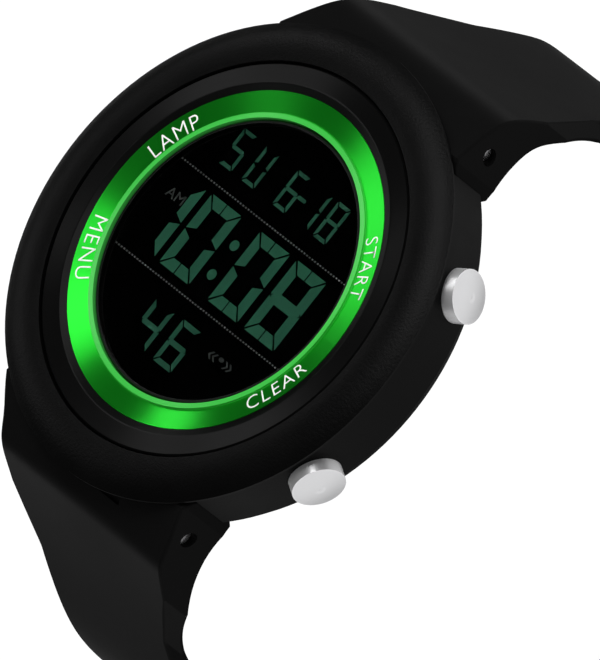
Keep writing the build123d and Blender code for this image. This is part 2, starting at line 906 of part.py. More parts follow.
os.makedirs("parts", exist_ok=True)
for name, solid in nodes.items():
    export_step(solid, f"parts/{name}.step")
print("buckle bar centre", buckle_place().position)
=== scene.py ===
from math import cos, radians, sin

import bmesh
import bpy
from mathutils import Matrix, Vector


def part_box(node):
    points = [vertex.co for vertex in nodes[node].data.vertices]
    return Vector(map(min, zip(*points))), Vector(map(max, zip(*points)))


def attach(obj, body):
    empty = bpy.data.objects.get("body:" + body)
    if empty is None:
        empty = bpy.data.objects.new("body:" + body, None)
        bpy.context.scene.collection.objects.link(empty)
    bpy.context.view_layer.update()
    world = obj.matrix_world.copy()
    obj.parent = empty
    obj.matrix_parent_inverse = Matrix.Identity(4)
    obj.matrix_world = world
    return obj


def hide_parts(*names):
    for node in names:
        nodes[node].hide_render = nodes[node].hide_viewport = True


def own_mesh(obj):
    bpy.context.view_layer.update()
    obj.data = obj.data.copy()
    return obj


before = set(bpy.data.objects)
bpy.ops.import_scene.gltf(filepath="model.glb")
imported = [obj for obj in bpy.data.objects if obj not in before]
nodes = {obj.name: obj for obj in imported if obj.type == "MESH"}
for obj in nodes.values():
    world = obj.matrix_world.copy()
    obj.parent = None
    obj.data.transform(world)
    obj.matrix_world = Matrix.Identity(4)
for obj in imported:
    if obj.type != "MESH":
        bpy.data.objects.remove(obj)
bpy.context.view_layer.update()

# Digital watch, strap open: materials for every CAD piece, the display's marks and the dial's words
mm = 0.001
micron = 0.001 * mm
print("frame loaded:", len(nodes), "pieces")


# Camera, almost without perspective, as the photograph has it
view = {
    "toCamera": Vector((0.662, 0.0, 0.7495)),
    "imageUp": Vector((-0.4633, 0.7861, 0.4092)),
    "aim": Vector((6.744, -0.863, 3.544)) * mm,
    "distance": 2.6,
    "tall": 61.42 * mm,
    "sensor": 36,
    "clip": (0.1, 40),
}

back = view["toCamera"].normalized()
right = view["imageUp"].cross(back).normalized()
up = back.cross(right)
cameraData = bpy.data.cameras.new("photoCamera")
cameraData.sensor_width = view["sensor"]
cameraData.lens = view["sensor"] * view["distance"] / view["tall"]
cameraData.clip_start, cameraData.clip_end = view["clip"]
camera = bpy.data.objects.new("photoCamera", cameraData)
bpy.context.scene.collection.objects.link(camera)
turn = Matrix((right, up, back)).transposed().to_4x4()
camera.matrix_world = Matrix.Translation(view["aim"] + back * view["distance"]) @ turn
bpy.context.scene.camera = camera
bpy.context.scene.view_settings.view_transform = "Standard"
print("camera set")


# Small helpers for node trees, whose sources are sockets or plain values
def addNode(tree, kind, **settings):
    made = tree.nodes.new(kind)
    for key, value in settings.items():
        setattr(made, key, value)
    return made


def plug(tree, source, target):
    if isinstance(source, bpy.types.NodeSocket):
        tree.links.new(source, target)
    else:
        target.default_value = source


def plugAll(tree, sources, targets):
    for source, target in zip(sources, targets):
        plug(tree, source, target)


def mathNode(tree, operation, *sources):
    made = addNode(tree, "ShaderNodeMath", operation=operation)
    plugAll(tree, sources, made.inputs)
    return made.outputs[0]


def vectorNode(tree, operation, *sources, result="Vector"):
    made = addNode(tree, "ShaderNodeVectorMath", operation=operation)
    plugAll(tree, sources, made.inputs)
    return made.outputs[result]


def apartNode(tree, vector):
    made = addNode(tree, "ShaderNodeSeparateXYZ")
    plug(tree, vector, made.inputs[0])
    return made.outputs


def togetherNode(tree, *sources):
    made = addNode(tree, "ShaderNodeCombineXYZ")
    plugAll(tree, sources, made.inputs)
    return made.outputs[0]


def noiseNode(tree, vector, scale, detail, rough):
    made = addNode(tree, "ShaderNodeTexNoise")
    targets = [made.inputs[label] for label in ("Vector", "Scale", "Detail", "Roughness")]
    plugAll(tree, (vector, scale, detail, rough), targets)
    return made.outputs["Fac"]


def mapped(tree, source, low, high, start=0.0, end=1.0, smooth=False):
    made = addNode(tree, "ShaderNodeMapRange", interpolation_type="SMOOTHSTEP" if smooth else "LINEAR")
    targets = [made.inputs[label] for label in ("Value", "From Min", "From Max", "To Min", "To Max")]
    plugAll(tree, (source, start, end, low, high), targets)
    return made.outputs[0]


# The usual span of a noise, spread over a range of values
noiseSpan = (0.3, 0.7)


def spread(tree, source, low, high):
    return mapped(tree, source, low, high, *noiseSpan)


def mixColour(tree, mask, first, second):
    made = addNode(tree, "ShaderNodeMix", data_type="RGBA")
    plugAll(tree, (mask, first, second), (made.inputs[0], made.inputs[6], made.inputs[7]))
    return made.outputs[2]


def mixShader(tree, mask, first, second):
    made = addNode(tree, "ShaderNodeMixShader")
    plugAll(tree, (mask, first, second), made.inputs)
    return made.outputs[0]


def objectPlace(tree):
    return addNode(tree, "ShaderNodeTexCoord").outputs["Object"]


def dialRadius(tree):
    flatPlace = vectorNode(tree, "MULTIPLY", objectPlace(tree), (1, 1, 0))
    return vectorNode(tree, "LENGTH", flatPlace, result="Value")


def opaque(colour):
    return (*colour, 1.0)


def newGroup(name, inputs, outputs):
    tree = bpy.data.node_groups.new(name, "ShaderNodeTree")
    for label, value in inputs:
        kind = "NodeSocketColor" if isinstance(value, tuple) else "NodeSocketFloat"
        socket = tree.interface.new_socket(label, in_out="INPUT", socket_type=kind)
        socket.default_value = value
    for label, kind in outputs:
        tree.interface.new_socket(label, in_out="OUTPUT", socket_type=kind)
    return tree, addNode(tree, "NodeGroupInput").outputs, addNode(tree, "NodeGroupOutput").inputs


# Fine moulded grain, as spark-eroded tools leave it: a coarse noise with finer spots
grainTree, given, wanted = newGroup(
    "mouldedGrain", [("Scale", 3200.0), ("Speckle", 0.4)], [("Height", "NodeSocketFloat")])
spotScale = 2.7
place = objectPlace(grainTree)
coarse = noiseNode(grainTree, place, given["Scale"], detail=3.0, rough=0.55)
finer = mathNode(grainTree, "MULTIPLY", given["Scale"], spotScale)
spots = noiseNode(grainTree, place, finer, detail=1.0, rough=0.5)
speckled = mathNode(grainTree, "MULTIPLY", spots, given["Speckle"])
plug(grainTree, mathNode(grainTree, "ADD", coarse, speckled), wanted["Height"])

# Slow change of tone over a piece, as handling and moulding leave it
driftTree, given, wanted = newGroup(
    "toneDrift", [("Color", (0.5, 0.5, 0.5, 1.0)), ("Scale", 90.0), ("Amount", 0.2)],
    [("Color", "NodeSocketColor"), ("Mask", "NodeSocketFloat")])
slow = noiseNode(driftTree, objectPlace(driftTree), given["Scale"], detail=4.0, rough=0.6)
centred = mathNode(driftTree, "SUBTRACT", slow, 0.5)
factor = mathNode(driftTree, "ADD", mathNode(driftTree, "MULTIPLY", centred, given["Amount"]), 1.0)
plug(driftTree, vectorNode(driftTree, "MULTIPLY", given["Color"], factor), wanted["Color"])
plug(driftTree, slow, wanted["Mask"])

# Place across the dial: 0 inside one radius, 1 outside another
bandTree, given, wanted = newGroup(
    "radialBand", [("Inner", 0.015), ("Outer", 0.016)], [("Mask", "NodeSocketFloat")])
outside = mapped(bandTree, dialRadius(bandTree), 0.0, 1.0, given["Inner"], given["Outer"], smooth=True)
plug(bandTree, outside, wanted["Mask"])

# Fine circles round the dial's axis, as turning leaves them, each a little broken
turnedTree, given, wanted = newGroup(
    "turnedCircles", [("Scale", 9000.0), ("Break", 0.02)], [("Height", "NodeSocketFloat")])
parts = apartNode(turnedTree, objectPlace(turnedTree))
breaks = [mathNode(turnedTree, "MULTIPLY", parts[label], given["Break"]) for label in ("X", "Y")]
broken = togetherNode(turnedTree, dialRadius(turnedTree), *breaks)
plug(turnedTree, noiseNode(turnedTree, broken, given["Scale"], detail=3.0, rough=0.7), wanted["Height"])

# Straight brushing: noise stretched along one direction
brushTree, given, wanted = newGroup(
    "straightBrush", [("X", 400.0), ("Y", 9000.0), ("Z", 9000.0)], [("Height", "NodeSocketFloat")])
stretch = togetherNode(brushTree, given["X"], given["Y"], given["Z"])
stretched = vectorNode(brushTree, "MULTIPLY", objectPlace(brushTree), stretch)
plug(brushTree, noiseNode(brushTree, stretched, 1.0, detail=3.0, rough=0.65), wanted["Height"])
print("shared effects made")


# Helpers for materials
def placeGroup(tree, group, **values):
    made = addNode(tree, "ShaderNodeGroup", node_tree=group)
    for key, value in values.items():
        plug(tree, value, made.inputs[key])
    return made.outputs


def radialBand(tree, edge):
    return placeGroup(tree, bandTree, Inner=edge[0], Outer=edge[1])["Mask"]


def newMaterial(name, **sockets):
    material = bpy.data.materials.new(name)
    material.use_nodes = True
    surface = material.node_tree.nodes["Principled BSDF"]
    for key, value in sockets.items():
        surface.inputs[key.replace("_", " ")].default_value = value
    return material, material.node_tree, surface.inputs


def driftTone(tree, colour, drift):
    return placeGroup(tree, driftTree, Color=colour, Scale=drift[0], Amount=drift[1])


def driftColour(tree, surface, colour, drift):
    tone = driftTone(tree, colour, drift)
    plug(tree, tone["Color"], surface["Base Color"])
    return tone


def bump(tree, surface, height, depth):
    made = addNode(tree, "ShaderNodeBump")
    plugAll(tree, (depth, height), (made.inputs["Distance"], made.inputs["Height"]))
    plug(tree, made.outputs[0], surface["Normal"])


def turnedBump(tree, surface, look):
    bump(tree, surface, placeGroup(tree, turnedTree, Scale=look["rings"])["Height"], look["depth"])


def dress(material, names):
    for name in names:
        nodes[name].data.materials.clear()
        nodes[name].data.materials.append(material)


# Resin, rubber and metals. Each drift is a noise scale and an amount of tone
finishes = {
    "bezelResin": {
        "nodes": ["bezel_cover"], "colour": (0.0018, 0.0018, 0.0018), "drift": (140.0, 0.5),
        "rough": (0.35, 0.42), "effect": grainTree, "scales": {"Scale": 3600.0, "Speckle": 0.5},
        "depth": 30 * micron, "sockets": {"Specular_IOR_Level": 0.065},
    },
    "caseResin": {
        "nodes": ["case_body"], "colour": (0.003, 0.003, 0.003), "drift": (120.0, 0.3),
        "rough": (0.38, 0.46), "effect": grainTree, "scales": {"Scale": 5200.0, "Speckle": 0.3},
        "depth": 10 * micron, "sockets": {"Specular_IOR_Level": 0.05},
    },
    "strapRubber": {
        "nodes": ["strap_buckle_side", "strap_hole_side", "strap_keeper"],
        "colour": (0.0045, 0.0045, 0.0045), "drift": (60.0, 0.4), "rough": (0.30, 0.38),
        "effect": grainTree, "scales": {"Scale": 4200.0, "Speckle": 0.3}, "depth": 8 * micron,
        "sockets": {"Specular_IOR_Level": 0.02},
    },
    "sealRubber": {
        "nodes": ["crystal_gasket", "case_back_gasket", "button_start_seal", "button_light_seal",
                  "button_mode_seal", "button_reset_seal"],
        "colour": (0.02, 0.02, 0.02), "drift": (300.0, 0.5), "rough": (0.55, 0.75),
        "effect": grainTree, "scales": {"Scale": 6000.0, "Speckle": 0.3}, "depth": 10 * micron,
        "sockets": {},
    },
    "modulePlastic": {
        "nodes": ["module_frame"], "colour": (0.74, 0.73, 0.69), "drift": (150.0, 0.08),
        "rough": (0.42, 0.55), "effect": grainTree, "scales": {"Scale": 3000.0, "Speckle": 0.2},
        "depth": 10 * micron, "sockets": {},
    },
    "chipEpoxy": {
        "nodes": ["processor_chip", "lamp_coil"], "colour": (0.018, 0.018, 0.019), "drift": (500.0, 0.5),
        "rough": (0.5, 0.7), "effect": grainTree, "scales": {"Scale": 9000.0, "Speckle": 0.6},
        "depth": 10 * micron, "sockets": {},
    },
    "satinSteel": {
        "nodes": ["quartz_can", "battery_cell", "battery_clip", "buzzer_spring", "side_contacts",
                  "upper_strap_pin", "lower_strap_pin", "button_start_spring", "button_light_spring",
                  "button_mode_spring", "button_reset_spring", "button_start_clip", "button_light_clip",
                  "button_mode_clip", "button_reset_clip"],
        "colour": (0.62, 0.62, 0.63), "drift": (300.0, 0.15), "rough": (0.2, 0.4),
        "effect": brushTree, "scales": {"X": 900.0, "Y": 9000.0, "Z": 9000.0}, "depth": 4 * micron,
        "sockets": {"Metallic": 1.0},
    },
    "buckleSteel": {
        "nodes": ["buckle_frame", "buckle_tongue", "buckle_bar"],
        "colour": (0.6, 0.6, 0.61), "drift": (120.0, 0.12), "rough": (0.22, 0.38),
        "effect": brushTree, "scales": {"X": 500.0, "Y": 11000.0, "Z": 11000.0}, "depth": 6 * micron,
        "sockets": {"Metallic": 1.0},
    },
    "backSteel": {
        "nodes": ["case_back", "case_back_screws"], "colour": (0.56, 0.56, 0.57), "drift": (90.0, 0.12),
        "rough": (0.24, 0.4), "effect": turnedTree, "scales": {"Scale": 6000.0}, "depth": 6 * micron,
        "sockets": {"Metallic": 1.0, "Anisotropic": 0.5},
    },
    "buzzerBrass": {
        "nodes": ["buzzer_disc"], "colour": (0.72, 0.52, 0.22), "drift": (200.0, 0.2),
        "rough": (0.25, 0.4), "effect": turnedTree, "scales": {"Scale": 4000.0}, "depth": 4 * micron,
        "sockets": {"Metallic": 1.0},
    },
}
for name, look in finishes.items():
    material, tree, surface = newMaterial(name, **look["sockets"])
    tone = driftColour(tree, surface, opaque(look["colour"]), look["drift"])
    height = placeGroup(tree, look["effect"], **look["scales"])["Height"]
    uneven = tone["Mask"] if look["effect"] == grainTree else height
    plug(tree, spread(tree, uneven, *look["rough"]), surface["Roughness"])
    bump(tree, surface, height, look["depth"])
    dress(material, look["nodes"])
print("resin, rubber and metal finishes made")


# Dial ring: green anodised, turned on its slope and plainer on its lip
dialRingLook = {
    "slope": (0.021, 0.72, 0.036), "lip": (0.045, 0.48, 0.06), "edge": (15.0 * mm, 15.3 * mm),
    "slopeMetal": 0.92, "lipMetal": 0.1, "rough": 0.3, "anisotropy": 0.98, "rotation": 0.25,
    "rings": 12000.0, "depth": 0.4 * micron, "drift": (120.0, 0.06),
}
material, tree, surface = newMaterial(
    "dialRingGreen", Anisotropic=dialRingLook["anisotropy"], Anisotropic_Rotation=dialRingLook["rotation"],
    Roughness=dialRingLook["rough"])
onSlope = radialBand(tree, dialRingLook["edge"])
tone = driftTone(tree, opaque(dialRingLook["slope"]), dialRingLook["drift"])
plug(tree, mixColour(tree, onSlope, opaque(dialRingLook["lip"]), tone["Color"]), surface["Base Color"])
plug(tree, mapped(tree, onSlope, dialRingLook["lipMetal"], dialRingLook["slopeMetal"]), surface["Metallic"])
turnedBump(tree, surface, dialRingLook)
dress(material, ["dial_ring"])

# Inner ring: black, its chamfer turned and its flat face brushed outwards
innerRingLook = {
    "colour": (0.002, 0.002, 0.002), "edge": (17.9 * mm, 18.2 * mm), "specular": 0.16,
    "rough": (0.45, 0.495), "anisotropy": 1.0, "chamferRotation": 0.25, "faceRotation": 0.0,
    "rings": 9000.0, "depth": 0.4 * micron, "drift": (100.0, 0.3),
}
material, tree, surface = newMaterial(
    "innerRingBlack", Anisotropic=innerRingLook["anisotropy"], Specular_IOR_Level=innerRingLook["specular"])
onFace = radialBand(tree, innerRingLook["edge"])
plug(tree, mapped(tree, onFace, innerRingLook["chamferRotation"], innerRingLook["faceRotation"]),
     surface["Anisotropic Rotation"])
tone = driftColour(tree, surface, opaque(innerRingLook["colour"]), innerRingLook["drift"])
plug(tree, spread(tree, tone["Mask"], *innerRingLook["rough"]), surface["Roughness"])
turnedBump(tree, surface, innerRingLook)
dress(material, ["inner_ring"])
print("ring finishes made")

# Buttons: satin steel, turned on the side, where gloss spreads along the button's own axis; the side's
# colour is lighter than the face's as painted light and shade
buttonLook = {
    "side": (0.92, 0.92, 0.93), "face": (0.73, 0.73, 0.74), "axis": (0.896, 0.445, 0.0),
    "faceFrom": (25.2 * mm, 25.3 * mm), "sideMetal": 0.75, "faceMetal": 0.9, "rough": (0.42, 0.48),
    "anisotropy": 0.8, "drift": (400.0, 0.06),
}
material, tree, surface = newMaterial("buttonSteel")
place = objectPlace(tree)
corner = vectorNode(tree, "SIGN", place)                   # which of the four buttons it is
axis = vectorNode(tree, "MULTIPLY", corner, buttonLook["axis"])
plug(tree, axis, surface["Tangent"])
outward = vectorNode(tree, "DOT_PRODUCT", place, axis, result="Value")
onFace = mapped(tree, outward, 0.0, 1.0, *buttonLook["faceFrom"])
plug(tree, mapped(tree, onFace, buttonLook["anisotropy"], 0.0), surface["Anisotropic"])
plug(tree, mapped(tree, onFace, buttonLook["sideMetal"], buttonLook["faceMetal"]), surface["Metallic"])
# Painted light and shade: one steel in two colours, lighter on the side and darker on the face
steelPaintedLitAndShaded = mixColour(tree, onFace, opaque(buttonLook["side"]), opaque(buttonLook["face"]))
tone = driftColour(tree, surface, steelPaintedLitAndShaded, buttonLook["drift"])
plug(tree, spread(tree, tone["Mask"], *buttonLook["rough"]), surface["Roughness"])
dress(material, ["button_start", "button_light", "button_mode", "button_reset"])

# Crystal: clear, with a black print round its edge
crystalLook = {
    "ior": 1.5, "clear": (1.0, 1.0, 1.0), "print": (0.0, 0.0, 0.0), "edge": (14.05 * mm, 14.2 * mm),
    "rough": (0.0, 0.3), "gloss": (0.5, 0.03),
}
material, tree, surface = newMaterial("crystalClear", Transmission_Weight=1.0, IOR=crystalLook["ior"])
onPrint = radialBand(tree, crystalLook["edge"])
plug(tree, mixColour(tree, onPrint, opaque(crystalLook["clear"]), opaque(crystalLook["print"])),
     surface["Base Color"])
plug(tree, mapped(tree, onPrint, *crystalLook["rough"]), surface["Roughness"])
plug(tree, mapped(tree, onPrint, *crystalLook["gloss"]), surface["Specular IOR Level"])
dress(material, ["crystal"])

# Display films and glass, from the front down
films = {
    "frontFilm": {"node": "front_polarizer", "colour": (0.0006, 0.0006, 0.0006), "rough": (0.1, 0.13),
                  "specular": 0.1},
    "displayGlass": {"node": "lcd_cell", "colour": (0.006, 0.008, 0.008), "rough": (0.08, 0.104),
                     "specular": 0.5},
    "rearFilm": {"node": "rear_polarizer", "colour": (0.05, 0.052, 0.05), "rough": (0.4, 0.52),
                 "specular": 0.5},
    "lampFilm": {"node": "backlight_panel", "colour": (0.66, 0.72, 0.6), "rough": (0.5, 0.65),
                 "specular": 0.5},
}
filmDrift = (120.0, 0.2)
for name, look in films.items():
    material, tree, surface = newMaterial(name, Specular_IOR_Level=look["specular"])
    tone = driftColour(tree, surface, opaque(look["colour"]), filmDrift)
    plug(tree, spread(tree, tone["Mask"], *look["rough"]), surface["Roughness"])
    dress(material, [look["node"]])

# Board: solder mask over a lattice of tracks
boardLook = {
    "mask": (0.008, 0.09, 0.03), "track": (0.02, 0.17, 0.05), "scale": 425.0, "trackWidth": 0.03,
    "rough": 0.35, "depth": 20 * micron,
}
material, tree, surface = newMaterial("boardGreen", Roughness=boardLook["rough"])
lattice = addNode(tree, "ShaderNodeTexBrick", offset=0.5, squash=1.0)
sources = {
    "Vector": objectPlace(tree), "Color1": opaque(boardLook["mask"]), "Color2": opaque(boardLook["mask"]),
    "Mortar": opaque(boardLook["track"]), "Mortar Size": boardLook["trackWidth"],
    "Scale": boardLook["scale"],
}
for label, source in sources.items():
    plug(tree, source, lattice.inputs[label])
plug(tree, lattice.outputs["Color"], surface["Base Color"])
bump(tree, surface, lattice.outputs["Fac"], boardLook["depth"])
dress(material, ["circuit_board"])

# Striped rubber connectors: thin conducting layers along X
zebraLook = {
    "dark": (0.03, 0.03, 0.03), "pale": (0.55, 0.5, 0.45), "scale": 1300.0, "step": (0.45, 0.55),
    "rough": 0.6,
}
material, tree, surface = newMaterial("zebraRubber", Roughness=zebraLook["rough"])
stripes = addNode(tree, "ShaderNodeTexWave", wave_type="BANDS", bands_direction="X")
plug(tree, objectPlace(tree), stripes.inputs["Vector"])
plug(tree, zebraLook["scale"], stripes.inputs["Scale"])
onPale = mapped(tree, stripes.outputs["Fac"], 0.0, 1.0, *zebraLook["step"])
plug(tree, mixColour(tree, onPale, opaque(zebraLook["dark"]), opaque(zebraLook["pale"])),
     surface["Base Color"])
dress(material, ["zebra_strip_upper", "zebra_strip_lower"])
print("button, display, board and connector finishes made")


# Pieces of the scene's own, each riding on one of the part's bodies
def newPiece(name, bm, material, body="case"):
    bmesh.ops.remove_doubles(bm, verts=bm.verts, dist=0.1 * micron)
    bmesh.ops.recalc_face_normals(bm, faces=bm.faces)
    mesh = bpy.data.meshes.new(name)
    bm.to_mesh(mesh)
    bm.free()
    mesh.materials.append(material)
    piece = bpy.data.objects.new(name, mesh)
    bpy.context.scene.collection.objects.link(piece)
    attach(piece, body)
    return piece


# Flat faces grown upwards into plates
def thicken(bm, faces, thickness):
    grown = bmesh.ops.extrude_face_region(bm, geom=list(faces))
    lifted = [item for item in grown["geom"] if isinstance(item, bmesh.types.BMVert)]
    bmesh.ops.translate(bm, vec=(0, 0, thickness * mm), verts=lifted)


# Inks for the display's marks, which glow a little as painted light, and for the ring's words
inks = {
    "hourInk": {"colour": (0.0175, 0.093, 0.053), "drift": (500, 0.12), "glow": 0.3, "specular": 0.1},
    "smallInk": {"colour": (0.017, 0.082, 0.049), "drift": (500, 0.12), "glow": 0.3, "specular": 0.1},
    "dotInk": {"colour": (0.10, 0.11, 0.105), "drift": (500, 0.12), "glow": 0.3, "specular": 0.1},
    "markInk": {"colour": (0.035, 0.04, 0.038), "drift": (500, 0.12), "glow": 0.3, "specular": 0.1},
    "whiteInk": {"colour": (0.80, 0.83, 0.80), "drift": (600, 0.1), "glow": 0.0, "specular": 0.5},
}
inkRough = (0.45, 0.6)


def inkFinish(name):
    look = inks[name]
    material, tree, surface = newMaterial(name, Specular_IOR_Level=look["specular"])
    tone = driftColour(tree, surface, opaque(look["colour"]), look["drift"])
    plug(tree, spread(tree, tone["Mask"], *inkRough), surface["Roughness"])
    # The emission is painted light: the display's marks glow though they are no lamp
    plug(tree, tone["Color"], surface["Emission Color"])
    plug(tree, look["glow"], surface["Emission Strength"])
    return material


# Digits of seven bars, in millimetres on the front film, each placed by its left edge
displaySeat = 8.2
markThickness = 0.03
tallDigits = {
    "placed": [("0", -7.6), ("0", 0.05), ("8", 5.8), ("1", -13.15)],
    "low": -4.0, "width": 4.7, "height": 8.1, "stroke": 1.16, "gap": 0.16, "split": True,
    "colonPlace": -1.42, "colonHeights": (1.54, -1.88), "colonRadius": 0.54, "colonSides": 24,
}
dateDigits = {
    "placed": [("S", -9.45), ("U", -5.9), ("6", -0.98), ("-", 0.85), ("1", 2.5), ("8", 5.38)],
    "low": 6.75, "width": 2.0, "dashWidth": 1.55, "height": 4.05, "stroke": 0.39, "gap": 0.13,
    "split": False,
}
secondDigits = {
    "placed": [("4", -4.93), ("6", -0.74)],
    "low": -11.5, "width": 2.85, "height": 4.75, "stroke": 0.55, "gap": 0.13, "split": False,
}
# Bars a to g run from the top clockwise round the digit, with g in the middle
barsOf = {
    "0": "abcdef", "1": "bc", "4": "fgbc", "6": "afgecd", "8": "abcdefg",
    "S": "afgcd", "U": "bcdef", "-": "g",
}
# Sizes at a bar's corners, as shares of the stroke's width and of the gap between bars
slantShare = 0.42
innerGapShare = 0.4
middleGapShare = 0.5
cornerGapShare = 1.2


def markPlate(bm, corners):
    face = bm.faces.new([bm.verts.new((x * mm, y * mm, displaySeat * mm)) for x, y in corners])
    thicken(bm, [face], markThickness)


def levelBars(letter, left, far, size):
    stroke, gap = size["stroke"], size["gap"]
    outer = size["low"] + size["height"] if letter == "a" else size["low"]
    inner = outer - stroke if letter == "a" else outer + stroke
    inset = stroke + gap * innerGapShare
    whole = [(left + gap, outer), (far - gap, outer), (far - inset, inner), (left + inset, inner)]
    if not size["split"]:
        return [whole]
    centre = (left + far) / 2
    leftHalf = [whole[0], (centre - gap / 2, outer), (centre - gap / 2, inner), whole[3]]
    rightHalf = [(centre + gap / 2, outer), whole[1], whole[2], (centre + gap / 2, inner)]
    return [leftHalf, rightHalf]


def middleBar(left, far, size):
    half = size["stroke"] / 2
    middle = size["low"] + size["height"] / 2
    near, end = left + size["gap"], far - size["gap"]
    slant = size["stroke"] * slantShare
    return [(near + slant, middle + half), (end - slant, middle + half), (end, middle),
            (end - slant, middle - half), (near + slant, middle - half), (near, middle)]


def sideBar(letter, left, far, size):
    stroke, gap = size["stroke"], size["gap"]
    outer = left if letter in "ef" else far
    inner = outer + stroke if letter in "ef" else outer - stroke
    middle = size["low"] + size["height"] / 2
    way = 1 if letter in "bf" else -1
    end = middle + way * size["height"] / 2
    near = middle + way * gap * middleGapShare
    slant = way * stroke * slantShare
    corner = way * (stroke + gap * cornerGapShare)
    return [(outer, end - way * gap), (outer, near), (inner, near + slant), (inner, end - corner)]


def placeDigits(bm, size):
    for mark, left in size["placed"]:
        far = left + (size["dashWidth"] if mark == "-" else size["width"])
        for letter in barsOf[mark]:
            if letter in "ad":
                plates = levelBars(letter, left, far, size)
            elif letter == "g":
                plates = [middleBar(left, far, size)]
            else:
                plates = [sideBar(letter, left, far, size)]
            for corners in plates:
                markPlate(bm, corners)


bm = bmesh.new()
placeDigits(bm, tallDigits)
for y in tallDigits["colonHeights"]:
    dot = bmesh.ops.create_circle(bm, cap_ends=True, radius=tallDigits["colonRadius"] * mm,
                                  segments=tallDigits["colonSides"])["verts"]
    bmesh.ops.translate(bm, verts=dot, vec=Vector((tallDigits["colonPlace"], y, displaySeat)) * mm)
    thicken(bm, {face for vert in dot for face in vert.link_faces}, markThickness)
newPiece("hourDigits", bm, inkFinish("hourInk"))

bm = bmesh.new()
placeDigits(bm, dateDigits)
placeDigits(bm, secondDigits)
newPiece("smallDigits", bm, inkFinish("smallInk"))

# Two dotted lines across the display
dotLook = {"heights": (4.98, -5.02), "radius": 14.2, "pitch": 0.42, "size": 0.17}
bm = bmesh.new()
half = dotLook["size"] / 2
for y in dotLook["heights"]:
    reach = (dotLook["radius"] ** 2 - y ** 2) ** 0.5
    for number in range(int(2 * reach / dotLook["pitch"])):
        x = -reach + number * dotLook["pitch"]
        markPlate(bm, [(x + across * half, y + upwards * half)
                       for across, upwards in ((-1, -1), (1, -1), (1, 1), (-1, 1))])
newPiece("dottedLines", bm, inkFinish("dotInk"))
print("display marks made")


# Lettering: words as a thin plate, centred, their foot on the X axis
letterLook = {"curveSteps": 4, "longestEdge": 0.4, "cuts": 2}


def textShape(words, height, thickness, thinner=0.0, spacing=1.0):
    curve = bpy.data.curves.new("words", "FONT")
    curve.body = words
    curve.size = 1.0
    curve.offset = -thinner
    curve.space_character = spacing
    curve.align_x = "CENTER"
    curve.resolution_u = letterLook["curveSteps"]
    shown = bpy.data.objects.new("words", curve)
    bpy.context.scene.collection.objects.link(shown)
    bpy.context.view_layer.update()
    mesh = bpy.data.meshes.new_from_object(shown)
    bpy.data.objects.remove(shown)
    bpy.data.curves.remove(curve)
    bm = bmesh.new()
    bm.from_mesh(mesh)
    bpy.data.meshes.remove(mesh)
    lowest = min(vert.co.y for vert in bm.verts)
    highest = max(vert.co.y for vert in bm.verts)
    grow = height * mm / (highest - lowest)
    bmesh.ops.translate(bm, verts=bm.verts, vec=(0, -lowest, 0))
    bmesh.ops.scale(bm, verts=bm.verts, vec=(grow, grow, 1))
    thicken(bm, bm.faces, thickness)
    return bm


# Left end and length of a shape along X
def spanOf(bm):
    near = min(vert.co.x for vert in bm.verts)
    return near, max(vert.co.x for vert in bm.verts) - near


def addTo(whole, bm):
    mesh = bpy.data.meshes.new("words")
    bm.to_mesh(mesh)
    bm.free()
    whole.from_mesh(mesh)
    bpy.data.meshes.remove(mesh)


# Small marks on the display: the half of the day, and a dot between two pairs of angles
smallMarks = [
    {"words": "AM", "left": -12.3, "low": 1.32, "width": 2.5, "height": 1.02},
    {"words": "«•»", "left": 4.3, "low": -8.2, "width": 3.6, "height": 0.85},
]
joinedMarks = bmesh.new()
for mark in smallMarks:
    bm = textShape(mark["words"], mark["height"], markThickness)
    near, reach = spanOf(bm)
    for vert in bm.verts:
        vert.co.x = mark["left"] * mm + (vert.co.x - near) * mark["width"] * mm / reach
        vert.co.y += mark["low"] * mm
        vert.co.z += displaySeat * mm
    addTo(joinedMarks, bm)
newPiece("smallMarks", joinedMarks, inkFinish("markInk"))

# Words on the dial ring, bent round it and laid on its slope, whose ends are a radius and a height.
# Their way is 1 where the letters' tops point outwards, and -1 where they point inwards
ringWords = {
    "middleRadius": 16.05,
    "height": 1.5,
    "thickness": 0.02,
    "thinner": 0.012,
    "spacing": 1.12,
    "slopeLow": (15.1, 9.98),
    "slopeHigh": (17.3, 10.32),
    "lift": 0.004,
    "placed": [
        {"words": "LAMP", "angle": 157.2, "width": 5.6, "way": 1},
        {"words": "MENU", "angle": 205.8, "width": 6.4, "way": -1},
        {"words": "START", "angle": 27.4, "width": 6.3, "way": 1},
        {"words": "CLEAR", "angle": 336.4, "width": 6.7, "way": -1},
    ],
}
lowRadius, lowHeight = ringWords["slopeLow"]
highRadius, highHeight = ringWords["slopeHigh"]
ringSlope = (highHeight - lowHeight) / (highRadius - lowRadius)
joinedWords = bmesh.new()
for word in ringWords["placed"]:
    bm = textShape(word["words"], ringWords["height"], ringWords["thickness"], ringWords["thinner"],
                   ringWords["spacing"])
    longEdges = [edge for edge in bm.edges if edge.calc_length() > letterLook["longestEdge"] * mm]
    bmesh.ops.subdivide_edges(bm, edges=longEdges, cuts=letterLook["cuts"])
    near, reach = spanOf(bm)
    for vert in bm.verts:
        along = ((vert.co.x - near) / reach - 0.5) * word["width"]
        radius = ringWords["middleRadius"] + (vert.co.y / mm - ringWords["height"] / 2) * word["way"]
        angle = radians(word["angle"]) - word["way"] * along / ringWords["middleRadius"]
        seat = lowHeight + (radius - lowRadius) * ringSlope + ringWords["lift"]
        vert.co = Vector((radius * cos(angle), radius * sin(angle), seat + vert.co.z / mm)) * mm
    addTo(joinedWords, bm)
newPiece("ringWords", joinedWords, inkFinish("whiteInk"))
print("lettering made")
